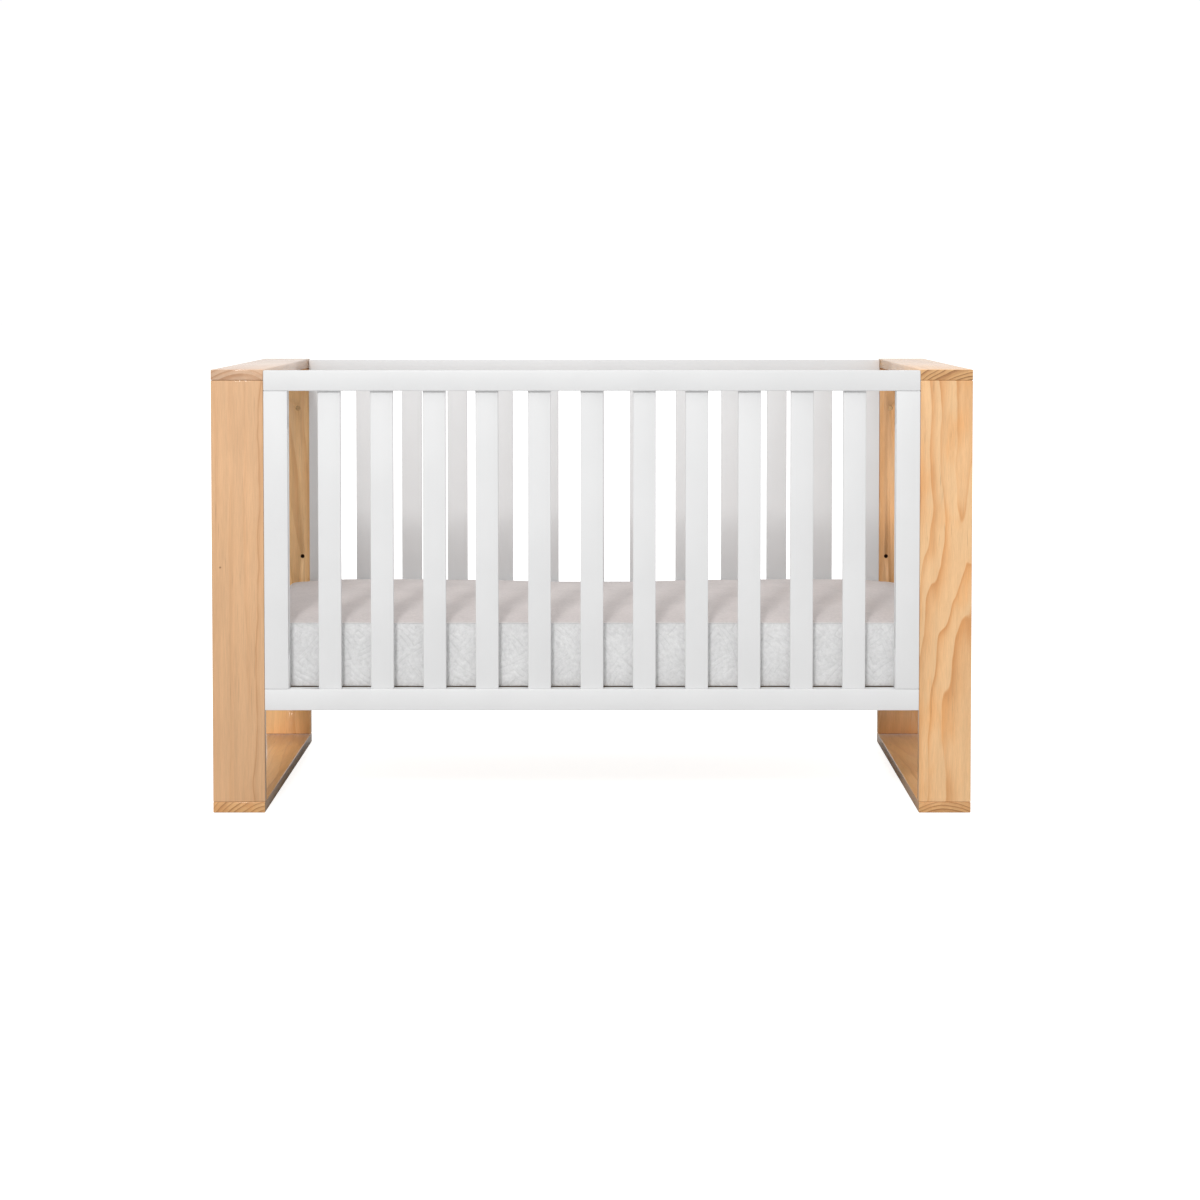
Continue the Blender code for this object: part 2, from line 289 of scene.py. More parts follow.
@cache
def paint_film_group() -> Tree:
    """A sprayed paint film: the wood's fibres show through a little, under fine orange peel."""
    desk, given, leave = start_group(
        "paint_film",
        {"Place": VECTOR, "Tint": COLOUR},
        {"Color": COLOUR, "Roughness": FLOAT, "Height": FLOAT},
    )
    place = given["Place"]
    fibres = desk.noise(desk.vector("MULTIPLY", place, (1.0, 1.0, 0.03)), 420.0, 3.0, 0.6)
    peel = desk.noise(place, 520.0, 1.0)
    broad = desk.noise(place, 7.0, 3.0)
    tinted = desk.scale(given["Tint"], desk.spread(broad, 0.25, 0.75, 0.975, 1.01))
    height = desk.math("ADD", desk.times(fibres, 0.55), desk.times(peel, 0.45))
    roughness = desk.spread(broad, 0.2, 0.8, 0.36, 0.5)
    desk.fill(leave, {"Color": tinted, "Roughness": roughness, "Height": height})
    return desk.tree


@cache
def knit_group() -> Tree:
    """A fine knit: rows of loops, with soft broad mottling."""
    desk, given, leave = start_group(
        "fine_knit",
        {"Place": VECTOR, "Tint": COLOUR, "Loop": FLOAT},
        {"Color": COLOUR, "Height": FLOAT},
    )
    pitch = desk.math("DIVIDE", 2 * math.pi, given["Loop"])
    x, y, z = desk.split(desk.vector("ADD", given["Place"], desk.wander(given["Place"], 300.0, 1.0, 0.0012)))
    diagonal = desk.math("MULTIPLY_ADD", y, 0.9, x)
    upright = desk.math("MULTIPLY_ADD", x, -0.55, desk.math("ADD", z, y))
    rows, columns = (desk.math("SINE", desk.times(way, pitch)) for way in (diagonal, upright))
    loops = desk.times(desk.math("ADD", rows, 1.0), desk.math("ADD", columns, 1.0))
    broad = desk.spread(desk.noise(given["Place"], 11.0, 3.0), 0.3, 0.7, 0.955, 1.02)
    mottle = desk.noise(given["Place"], 160.0, 3.0, 0.7)
    mottle_tone = desk.spread(mottle, 0.3, 0.7, 0.93, 1.04)
    tone = desk.times(broad, mottle_tone, desk.math("MULTIPLY_ADD", loops, 0.012, 0.965))
    height = desk.math("ADD", desk.times(loops, 0.25), desk.times(mottle, 0.4))
    desk.fill(leave, {"Color": desk.scale(given["Tint"], tone), "Height": height})
    return desk.tree


def new_material(name: str) -> tuple[Material, NodeDesk, Node]:
    """A node material with its desk and its Principled shader."""
    made = bpy.data.materials.new(name)
    made.use_nodes = True
    return made, NodeDesk(made.node_tree), made.node_tree.nodes["Principled BSDF"]


class PineTone(Enum):
    """The colours of a board's early wood, late wood and streaks."""

    ROSY = ((0.735, 0.440, 0.233), (0.50, 0.235, 0.090), (0.74, 0.390, 0.180))
    WARM = ((0.845, 0.530, 0.270), (0.58, 0.245, 0.075), (0.82, 0.390, 0.130))
    DEEP = ((0.870, 0.505, 0.240), (0.60, 0.270, 0.085), (0.84, 0.390, 0.135))
    # Painted light: a brighter tone than the other boards, lifting the left rear leg, which sits in the left
    # loop's shadow.
    SHADY = ((0.975, 0.605, 0.285), (0.66, 0.300, 0.095), (0.88, 0.430, 0.160))
    AMBER = ((0.905, 0.520, 0.222), (0.52, 0.215, 0.065), (0.80, 0.380, 0.140))
    PALE = ((0.770, 0.500, 0.320), (0.50, 0.230, 0.100), (0.76, 0.400, 0.210))
    # Painted shade: near-black pine for the faces inside the drilled holes, standing in for the shadow in
    # them.
    BORED = ((0.10, 0.052, 0.026), (0.05, 0.024, 0.010), (0.08, 0.040, 0.018))
    BARE = ((0.78, 0.58, 0.37), (0.58, 0.36, 0.18), (0.76, 0.52, 0.30))


@dataclass(frozen=True)
class PineFinish:
    """Lacquered pine sawn from one place in its log."""

    name: str
    grain: Grain
    tone: PineTone
    pith: tuple[float, float, float]
    tilt_deg: tuple[float, float]
    spacing: float
    waviness: float
    contrast: float
    seed: float
    knots: tuple[tuple[float, float, float, float], ...] = ()
    end_contrast: float = 0.8
    # Painted shade: the inner edge face of a bottom board is darkened as if in the deep shadow under the
    # crib.
    painted_shade_edge: tuple[float, float, float] = (0.0, 0.0, 0.0)
    vein_x: float | None = None
    roughness: float = 0.45
    lacquer: float = 0.8

    def material(self) -> Material:
        """Makes the material."""
        made, desk, shader = new_material(self.name)
        where = desk.coordinates("Object")
        early, late, streak = ((*colour, 1.0) for colour in self.tone.value)
        turn = Vector(self.grain.value) + Vector([math.radians(angle) for angle in (*self.tilt_deg, 0.0)])
        from_log = {"Vector": where, "Location": self.pith, "Rotation": turn}
        values = {
            "Place": desk.put("ShaderNodeMapping", from_log, vector_type="TEXTURE").outputs[0],
            "End Grain": desk.use(end_grain_group(), {"Axis": self.grain.axis})["Mask"],
            "Ring Spacing": self.spacing,
            "Waviness": self.waviness,
            "Contrast": self.contrast,
            "Seed": self.seed,
            "Early": early,
            "Late": late,
            "Streak": streak,
            "End Contrast": self.end_contrast,
            "Knot": self.knot_mask(desk, where),
            "Vein": self.vein_mask(desk, where),
            "Shade": self.painted_edge_shade(desk),
        }
        wood = desk.use(growth_rings_group(), values)
        inputs = {
            "Base Color": wood["Color"],
            "Roughness": desk.math("MULTIPLY_ADD", wood["Late"], -0.08, self.roughness),
            "Coat Weight": self.lacquer,
            "Coat Roughness": 0.13,
            "Specular IOR Level": 0.25,
            "Normal": desk.bump(wood["Height"], 0.10, 0.0006),
        }
        desk.fill(shader, inputs)
        return made

    def painted_edge_shade(self, desk: NodeDesk) -> object:
        """How far painted shade darkens one edge face: the board's edge vector points out of that face, and
        its length is how far.

        Args:
            desk: The material's desk.

        Returns:
            The tone's socket, or 1 on a board with no painted edge shade.
        """
        edge = Vector(self.painted_shade_edge)
        if not edge.length:
            return 1.0
        facing = desk.vector("DOT_PRODUCT", desk.coordinates("Normal"), edge.normalized())
        return desk.spread(facing, 0.5, 0.9, 1.0, 1.0 - edge.length)

    def vein_mask(self, desk: NodeDesk, where: Socket) -> object:
        """Where a thin resin vein runs up the board.

        Args:
            desk: The material's desk.
            where: The object coordinates.

        Returns:
            The mask's socket, or 0 on a board with no vein.
        """
        if self.vein_x is None:
            return 0.0
        slow = desk.vector("MULTIPLY", where, (0.5, 0.5, 1.0))
        sway = desk.math("MULTIPLY_ADD", desk.noise(slow, 4.5, 3.0, 0.45), 0.048, self.vein_x - 0.025)
        past = desk.math("SUBTRACT", desk.split(where)[0], sway)
        line = desk.spread(desk.math("ABSOLUTE", past), 0.0004, 0.0024, 0.62, 0.0)
        beside = desk.math("ABSOLUTE", desk.math("SUBTRACT", past, 0.002))
        glow = desk.spread(beside, 0.001, 0.009, 0.20, 0.0)
        fade = desk.spread(desk.noise(where, 13.0), 0.35, 0.6, 0.55, 1.0)
        return desk.times(desk.math("MAXIMUM", line, glow), fade)

    def knot_mask(self, desk: NodeDesk, where: Socket) -> object:
        """Where the board's pin knots are.

        Args:
            desk: The material's desk.
            where: The object coordinates.

        Returns:
            The mask's socket, or 0 on a board with no knot.
        """
        mask = 0.0
        for x, y, z, size in self.knots:
            away = desk.vector("LENGTH", desk.vector("SUBTRACT", where, (x, y, z)))
            near = desk.math("MULTIPLY_ADD", desk.noise(where, 500.0), size, away)
            mask = desk.math("MAXIMUM", desk.spread(near, size * 0.9, size * 1.5, 0.85, 0.0), mask)
        return mask


@dataclass(frozen=True)
class PaintFinish:
    """Satin white paint on a board whose fibres run one way."""

    name: str
    grain: Grain
    tint: tuple[float, float, float] = (0.785, 0.787, 0.789)

    def material(self) -> Material:
        """Makes the material."""
        made, desk, shader = new_material(self.name)
        turned = {"Vector": desk.coordinates("Object"), "Rotation": self.grain.value}
        place = desk.put("ShaderNodeMapping", turned, vector_type="TEXTURE").outputs[0]
        film = desk.use(paint_film_group(), {"Place": place, "Tint": (*self.tint, 1.0)})
        normal = desk.bump(film["Height"], 0.12, 0.0004)
        desk.fill(shader, {"Base Color": film["Color"], "Roughness": film["Roughness"], "Normal": normal})
        return made


@dataclass(frozen=True)
class ClothFinish:
    """Knitted mattress fabric."""

    name: str
    tint: tuple[float, float, float]
    loop: float
    bump: float
    quilted: bool = False

    def material(self) -> Material:
        """Makes the material."""
        made, desk, shader = new_material(self.name)
        where = desk.coordinates("Object")
        knit = desk.use(knit_group(), {"Place": where, "Tint": (*self.tint, 1.0), "Loop": self.loop})
        colour, height = knit["Color"], knit["Height"]
        if self.quilted:
            border = desk.put("ShaderNodeUVMap", uv_map="border").outputs[0]
            quilt = desk.use(Quilting().group(), {"Place": border})
            # Painted shade: the border is darkened along the stitch lines, standing in for the shade in the
            # quilting's grooves.
            painted_groove_shade = desk.spread(desk.noise(where, 55.0), 0.40, 0.62, 0.0, -0.085)
            crumple = desk.spread(desk.noise(where, 85.0, 3.0, 0.7), 0.3, 0.7, 0.955, 1.035)
            stitch = desk.math("MULTIPLY_ADD", quilt["Stitch"], painted_groove_shade, 1.0)
            colour = desk.scale(colour, desk.times(stitch, crumple))
            height = desk.math("MULTIPLY_ADD", quilt["Puff"], 0.8, height)
        inputs = {
            "Base Color": colour,
            "Roughness": 0.9,
            "Sheen Weight": 0.15,
            "Sheen Roughness": 0.5,
            "Normal": desk.bump(height, self.bump, 0.001),
        }
        desk.fill(shader, inputs)
        return made


@dataclass(frozen=True)
class MetalFinish:
    """Plated steel with fine turning marks."""

    name: str
    tint: tuple[float, float, float]
    roughness: float

    def material(self) -> Material:
        """Makes the material."""
        made, desk, shader = new_material(self.name)
        marks = desk.noise(desk.coordinates("Object"), 1400.0)
        colour = desk.scale(self.tint, desk.spread(marks, 0.3, 0.7, 0.85, 1.1))
        roughness = desk.spread(marks, 0.2, 0.8, self.roughness, self.roughness + 0.15)
        desk.fill(shader, {"Base Color": colour, "Metallic": 1.0, "Roughness": roughness})
        return made


def into_scene(name: str, data: bpy.types.ID) -> Object:
    """A new object in the scene."""
    made = bpy.data.objects.new(name, data)
    bpy.context.scene.collection.objects.link(made)
    return made


def new_mesh(shape: Shape, name: str, material: Material) -> Mesh:
    """A mesh of one material from a bmesh, which is freed."""
    mesh = bpy.data.meshes.new(name)
    shape.to_mesh(mesh)
    shape.free()
    mesh.materials.append(material)
    return mesh


def evaluated_mesh(piece: Object) -> Mesh:
    """A new mesh of a piece as its modifiers leave it."""
    bpy.context.view_layer.update()
    return bpy.data.meshes.new_from_object(piece.evaluated_get(bpy.context.evaluated_depsgraph_get()))


def finish_piece(
    shape: Shape, name: str, material: Material, body: str, smooth_deg: float = 35.0
) -> Object:
    """Turns a bmesh into a finished piece on a body.

    Args:
        shape: The piece's geometry, in the row frame. It is freed.
        name: The piece's name.
        material: Its material.
        body: The body that it rides on.
        smooth_deg: The sharpest edge that is still shaded smooth.

    Returns:
        The piece.
    """
    mesh = new_mesh(shape, name, material)
    mesh.shade_smooth()
    mesh.set_sharp_from_angle(angle=math.radians(smooth_deg))
    piece = into_scene(name, mesh)
    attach(piece, body)
    return piece


def round_edges(shape: Shape, edges: list, radius: float, segments: int) -> None:
    """Rounds some edges of a shape."""
    bmesh.ops.bevel(
        shape, geom=edges, offset=radius, affect="EDGES", segments=segments, profile=0.5, material=-1
    )


def box_shape(boxes: Iterable[tuple[Vector, Vector]]) -> Shape:
    """One bmesh of separate boxes, each between its lowest and highest corners."""
    shape = bmesh.new()
    for low, high in boxes:
        place = Matrix.Translation((low + high) / 2) @ Matrix.Diagonal((*(high - low), 1.0))
        bmesh.ops.create_cube(shape, size=1.0, matrix=place)
    return shape


def board_shape(low: Vector, high: Vector, rounding: float, segments: int = 3) -> Shape:
    """A board between two corners, with rounded edges."""
    shape = box_shape([(low, high)])
    round_edges(shape, shape.edges[:], rounding, segments)
    return shape


@dataclass(frozen=True)
class Rod:
    """A rod or a round hole: the middle of its near end, the way it goes in from there, and its size."""

    mouth: Vector
    inward: Vector
    diameter: float
    length: float

    def longer(self, outside: float) -> Rod:
        """The same rod, standing out of its mouth."""
        return Rod(self.mouth - self.inward * outside, self.inward, self.diameter, self.length + outside)


def rod_shape(rods: Iterable[Rod], sides: int = 32, rim: float = 0.0) -> Shape:
    """One bmesh of separate rods.

    Args:
        rods: The rods.
        sides: How many flats stand for the round.
        rim: The radius of the edges at the ends, or 0 for sharp ones.

    Returns:
        The rods' bmesh.
    """
    shape = bmesh.new()
    for rod in rods:
        turn = rod.inward.to_track_quat("Z", "Y").to_matrix().to_4x4()
        bmesh.ops.create_cone(
            shape,
            cap_ends=True,
            segments=sides,
            radius1=rod.diameter / 2,
            radius2=rod.diameter / 2,
            depth=rod.length,
            matrix=Matrix.Translation(rod.mouth + rod.inward * rod.length / 2) @ turn,
        )
    if rim:
        ends = [edge for edge in shape.edges if max(len(face.verts) for face in edge.link_faces) > 4]
        round_edges(shape, ends, rim, 2)
    return shape


def cut(piece: Object, cutter: Shape, inside: Material | None = None) -> None:
    """Cuts a shape out of a piece, and leaves the result in the piece's own mesh.

    Args:
        piece: The piece to cut.
        cutter: The shape to take away. It is freed.
        inside: The material of the cut faces, if it isn't the piece's own.
    """
    helper = into_scene("cutter", new_mesh(cutter, "cutter", inside or piece.data.materials[0]))
    boolean = piece.modifiers.new("cut", "BOOLEAN")
    boolean.solver = "EXACT"
    boolean.material_mode = "TRANSFER"
    boolean.object = helper
    result = evaluated_mesh(piece)
    piece.modifiers.clear()
    piece.data = result
    bpy.data.objects.remove(helper)


@dataclass
class Joinery:
    """The places of the holes that legs and stiles share."""

    bolt_heights: tuple[float, float] = (0.307, 0.729)
    pin_heights: tuple[float, float] = (0.198, 0.408)
    bolt_set_back: float = 0.010
    counterbore: float = 0.015
    counterbore_depth: float = 0.008
    leg_thickness: float = 0.020
    nut_x: float = 0.640
    nut_diameter: float = 0.0102
    nut_depth: float = 0.016
    pin_x: float = 0.632
    pin_diameter: float = 0.0086
    pin_depth: float = 0.0143
    cutter_outside: float = 0.002

    def drill(self, piece: Object, holes: list[Rod], inside: Material | None = None) -> None:
        """Cuts round holes into a piece, with a cutter that starts outside it."""
        cut(piece, rod_shape([hole.longer(self.cutter_outside) for hole in holes]), inside)


@dataclass
class EndLoop:
    """One rectangular loop of wide pine boards at an end of the crib."""

    side_name: str
    side: int
    joinery: Joinery
    finishes: dict[str, PineFinish]
    # Painted shade for the faces inside the legs' holes.
    bore: Material
    rounding: float = 0.0016

    def build(self) -> None:
        """Builds the four boards of the loop."""
        for part in ("bottom_board", "top_board", "front_leg", "rear_leg"):
            node = f"{self.side_name}_{part}"
            low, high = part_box(node)
            shape = board_shape(low, high, self.rounding)
            piece = finish_piece(shape, f"pine_{node}", self.finishes[node].material(), "frame")
            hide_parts(node)
            if part.endswith("leg"):
                self.drill(piece, low, high, 1 if part.startswith("rear") else -1)
            log.info("loop board %s", node)

    def drill(self, leg: Object, low: Vector, high: Vector, face: int) -> None:
        """Drills the pin and nut holes of a leg from the inside.

        Args:
            leg: The leg.
            low: Its lowest corner.
            high: Its highest corner.
            face: 1 on a rear leg, -1 on a front leg.
        """
        plan = self.joinery
        inside = low.y if face > 0 else high.y
        rows = (
            (plan.pin_x, plan.pin_heights, plan.pin_diameter, plan.pin_depth),
            (plan.nut_x, plan.bolt_heights, plan.nut_diameter, plan.nut_depth),
        )
        holes = [
            Rod(Vector((self.side * x, inside, z)), Vector((0, face, 0)), diameter, depth)
            for x, heights, diameter, depth in rows
            for z in heights
        ]
        # The holes' cut faces take the painted shade material.
        plan.drill(leg, holes, self.bore)


@dataclass
class SlattedPanel:
    """A white panel of two rails, its slats and, on the long sides, two stiles."""

    name: str
    nodes: dict[str, list[str]]
    grain_of_rail: Grain
    rounding: float = 0.0014
    housing_gap: float = 0.0002

    def build(self, paints: dict[Grain, Material]) -> dict[str, Object]:
        """Builds the panel.

        Args:
            paints: The white paint for each direction of the fibres.

        Returns:
            Each node's piece by its node's name.
        """
        made = {}
        for kind, members in self.nodes.items():
            paint = paints[self.grain_of_rail if kind == "rails" else Grain.ALONG_Z]
            for node in members:
                shape = board_shape(*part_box(node), self.rounding)
                made[node] = finish_piece(shape, f"white_{node}", paint, "frame")
                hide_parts(node)
        grow = Vector((self.housing_gap,) * 3)
        slats = [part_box(node) for node in self.nodes["slats"]]
        for node in self.nodes["rails"]:
            cut(made[node], box_shape((low - grow, high + grow) for low, high in slats))
        log.info("panel %s: %d pieces", self.name, len(made))
        return made


@dataclass
class PanelBolts:
    """The connector bolts in the stiles and the cross nuts in the legs."""

    joinery: Joinery
    head_diameter: float = 0.0135
    head_height: float = 0.0035
    head_rim: float = 0.0008
    socket_across: float = 0.004
    nut_gap: float = 0.0002
    nut_sink: float = 0.0008
    nut_clear: float = 0.002

    def build(
        self, stiles: dict[str, Object], steel: Material, yellow: Material
    ) -> None:
        """Counterbores each stile, and puts in its bolts and the leg's nuts.

        Args:
            stiles: Each stile's piece by its node's name.
            steel: The bolts' material.
            yellow: The nuts' material.
        """
        plan = self.joinery
        for node, stile in stiles.items():
            low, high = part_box(node)
            side = 1 if low.x > 0 else -1
            face = 1 if low.y > 0 else -1
            inner_x = low.x if side > 0 else high.x
            inward = Vector((side, 0, 0))
            mouths = [
                Vector((inner_x, face * (CAD_BOX[1].y - plan.bolt_set_back), z)) for z in plan.bolt_heights
            ]
            bores = [Rod(mouth, inward, plan.counterbore, plan.counterbore_depth) for mouth in mouths]
            plan.drill(stile, bores)
            for number, mouth in enumerate(mouths, 1):
                seat = mouth + inward * (plan.counterbore_depth - self.head_height)
                self.bolt_head(f"{node}_bolt_{number}", seat, inward, steel)
                nut_y = face * (CAD_BOX[1].y - plan.leg_thickness + self.nut_sink)
                nut = Vector((side * plan.nut_x, nut_y, mouth.z))
                self.cross_nut(f"{node}_nut_{number}", nut, Vector((0, face, 0)), yellow)

    def bolt_head(self, name: str, seat: Vector, inward: Vector, steel: Material) -> None:
        """A flat round bolt head with a hexagon socket.

        Args:
            name: The piece's name.
            seat: The middle of the head's outer face.
            inward: The direction from that face into the wood.
            steel: Its material.
        """
        head = rod_shape([Rod(seat, inward, self.head_diameter, self.head_height)], 36, self.head_rim)
        piece = finish_piece(head, f"steel_{name}", steel, "frame")
        corners = self.socket_across / math.cos(math.pi / 6)
        socket = Rod(seat, inward, corners, self.head_height / 2)
        cut(piece, rod_shape([socket.longer(self.head_height / 2)], 6))

    def cross_nut(self, name: str, mouth: Vector, inward: Vector, yellow: Material) -> None:
        """A barrel nut with a screwdriver slot in its end.

        Args:
            name: The piece's name.
            mouth: The middle of the nut's visible end.
            inward: The direction from that end into the wood.
            yellow: Its material.
        """
        diameter = self.joinery.nut_diameter - 2 * self.nut_gap
        barrel = rod_shape([Rod(mouth, inward, diameter, self.joinery.nut_depth - self.nut_clear)])
        piece = finish_piece(barrel, f"steel_{name}", yellow, "frame")
        slot_half = Vector((0.6 * diameter, 0.001, 0.0006))
        cut(piece, box_shape([(mouth - slot_half, mouth + slot_half)]))


@dataclass
class MattressBase:
    """The slatted base and the pins that it rests on."""

    rail_width: float = 0.045
    slat_width: float = 0.060
    slat_thickness: float = 0.012
    slat_proud: float = 0.0057
    housing: float = 0.012
    housing_gap: float = 0.0002
    set_back: float = 0.004
    end_rise: float = 0.002
    slats: int = 12
    rounding: float = 0.0012
    pin_rim: float = 0.0009

    def build(self, pines: dict[Grain, Material], steel: Material) -> None:
        """Builds rails, slats and pins.

        Args:
            pines: Bare pine for each direction of the fibres.
            steel: The pins' material.
        """
        low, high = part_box("mattress_base")
        slat_low = high.z - self.slat_thickness
        inner = high.y - self.rail_width
        reach = inner + self.housing
        first = low.x + self.slat_width / 2 + 2 * self.set_back
        middles = [first - 2 * first * number / (self.slats - 1) for number in range(self.slats)]
        gap = self.housing_gap
        for name, sign in (("front", -1), ("rear", 1)):
            edges = sorted((sign * high.y, sign * inner))
            bottom = Vector((low.x, edges[0], low.z))
            top = Vector((high.x, edges[1], high.z - self.slat_proud))
            rail = self.member(f"base_{name}_rail", bottom, top, pines[Grain.ALONG_X])
            ends = sorted((sign * (inner - gap), sign * (reach + gap)))
            half = self.slat_width / 2 + gap
            housings = [
                (Vector((x - half, ends[0], slat_low - gap)), Vector((x + half, ends[1], high.z + gap)))
                for x in middles
            ]
            cut(rail, box_shape(housings))
        outer = high.x - self.set_back
        for name, sign in (("left", -1), ("right", 1)):
            edges = sorted((sign * outer, sign * (outer - self.rail_width)))
            bottom = Vector((edges[0], -inner, low.z + self.end_rise))
            top = Vector((edges[1], inner, slat_low))
            self.member(f"base_{name}_rail", bottom, top, pines[Grain.ALONG_Y])
        for number, x in enumerate(middles, 1):
            bottom = Vector((x - self.slat_width / 2, -reach, slat_low))
            top = Vector((x + self.slat_width / 2, reach, high.z))
            self.member(f"base_slat_{number:02d}", bottom, top, pines[Grain.ALONG_Y])
        for side in ("left", "right"):
            for face in ("front", "rear"):
                self.pin(f"{side}_{face}_base_pin", steel)
        log.info("mattress base: %d slats", self.slats)

    def member(self, name: str, low: Vector, high: Vector, pine: Material) -> Object:
        """One board of the base between two corners."""
        piece = finish_piece(board_shape(low, high, self.rounding, 2), name, pine, "base")
        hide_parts("mattress_base")
        return piece

    def pin(self, node: str, steel: Material) -> None:
        """A turned support pin with rounded ends."""
        low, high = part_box(node)
        end = Vector(((low.x + high.x) / 2, high.y, (low.z + high.z) / 2))
        shape = rod_shape([Rod(end, Vector((0, -1, 0)), high.z - low.z, high.y - low.y)], rim=self.pin_rim)
        piece = finish_piece(shape, f"steel_{node}", steel, "frame")
        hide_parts(node)


@dataclass
class Quilting:
    """The stitched pattern of the mattress border: slanted lines that turn from block to block."""

    block: float = 0.052
    spacing: float = 0.0105
    depth: float = 0.0008
    sway: float = 0.0095
    sway_pitch: tuple[float, float, float] = (53.0, 21.0, 43.0)

    def pull(self, along: float, up: float) -> float:
        """How deep the stitching pulls in at a place on the border.

        Args:
            along: The distance round the mattress.
            up: The height above the lower seam.

        Returns:
            The depth in metres.
        """
        first, second, third = self.sway_pitch
        u = along + self.sway * (math.sin(up * first) + math.sin(along * second))
        v = up + self.sway * math.sin(along * third)
        way = 1 if (math.floor(u / self.block) + math.floor(v / self.block)) % 2 else -1
        phase = (u + way * v) / math.sqrt(2) / self.spacing
        near = abs(phase - math.floor(phase) - 0.5) * 2
        fade = min(1.0, max(0.15, 0.6 + noise.noise(Vector((along * 34, up * 34, 3.0)))))
        return self.depth * near**3 * fade

    def group(self) -> Tree:
        """The same pattern for the shader, from the border's own UV map in metres.

        Returns:
            The node group, with outputs Stitch and Puff.
        """
        outputs = {"Stitch": FLOAT, "Puff": FLOAT}
        desk, given, leave = start_group("quilt_stitching", {"Place": VECTOR}, outputs)
        first, second, third = self.sway_pitch
        along, up, _ = desk.split(given["Place"])
        slow = [desk.math("SINE", desk.times(way, pitch)) for way, pitch in ((up, first), (along, second))]
        u = desk.math("MULTIPLY_ADD", desk.math("ADD", *slow), self.sway, along)
        v = desk.math("MULTIPLY_ADD", desk.math("SINE", desk.times(along, third)), self.sway, up)
        column, row = (desk.math("FLOOR", desk.math("DIVIDE", way, self.block)) for way in (u, v))
        odd = desk.math("FLOORED_MODULO", desk.math("ADD", column, row), 2.0)
        slant = desk.math("MULTIPLY_ADD", desk.math("MULTIPLY_ADD", odd, 2.0, -1.0), v, u)
        phase = desk.math("FRACT", desk.math("DIVIDE", slant, self.spacing * math.sqrt(2)))
        near = desk.times(desk.math("ABSOLUTE", desk.math("SUBTRACT", phase, 0.5)), 2.0)
        puff = desk.math("SUBTRACT", 1.0, desk.math("POWER", near, 2.5))
        desk.fill(leave, {"Stitch": desk.spread(near, 0.70, 0.96), "Puff": puff})
        return desk.tree


